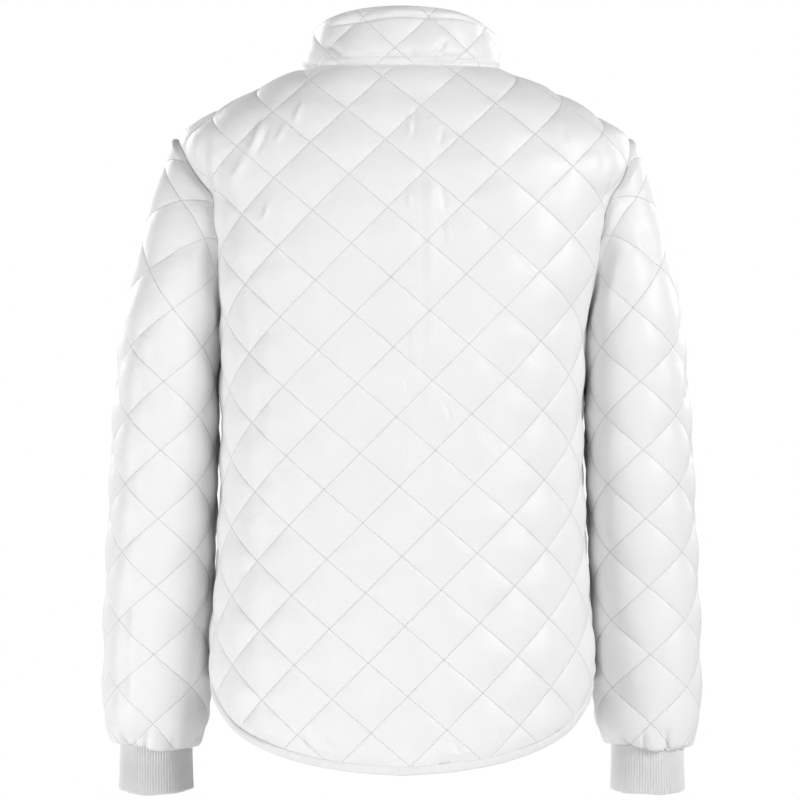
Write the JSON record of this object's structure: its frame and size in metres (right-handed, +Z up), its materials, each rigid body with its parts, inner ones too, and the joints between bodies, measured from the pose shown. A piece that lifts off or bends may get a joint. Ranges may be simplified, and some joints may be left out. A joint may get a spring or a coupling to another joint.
{
  "type": "thermal jacket",
  "caption": "Quilted thermal jacket with a stand collar, front zip, rib cuffs and a curved drop-back hem, hollow and filled out as worn.",
  "frame": {"origin": "midway between the two side neck points, at their height, where the wearer's shoulders carry the jacket", "axes": "+X to the wearer's left, +Y to the wearer's back, +Z up"},
  "size_m": [0.6204, 0.2646, 0.813],
  "materials": {
    "shell": "smooth satin taffeta, quilted",
    "rib_knit": "matt rib knit",
    "binding": "satin bias strip",
    "zip_tape": "woven tape",
    "zip_coil": "moulded",
    "zip_metal": "white enamel"
  },
  "bodies": {
    "jacket": {"back": "shell", "front_left": "shell", "front_right": "shell", "sleeve_left": "shell", "sleeve_right": "shell", "collar": "shell", "cuff_left": "rib_knit", "cuff_right": "rib_knit", "hem_binding_back": "binding", "hem_binding_left": "binding", "hem_binding_right": "binding", "zip_tape_left": "zip_tape", "zip_tape_right": "zip_tape", "zip_chain": "zip_coil", "zip_slider": "zip_metal", "zip_end_box": "zip_metal"},
    "pull": {"zip_pull": "zip_metal"}
  },
  "joints": [
    {"name": "pull_swing", "type": "hinge", "parent": "jacket", "child": "pull", "pos_m": [0, -0.08551, -0.03321], "axis": [-1, 0, 0], "range_deg": [0, 170]}
  ]
}
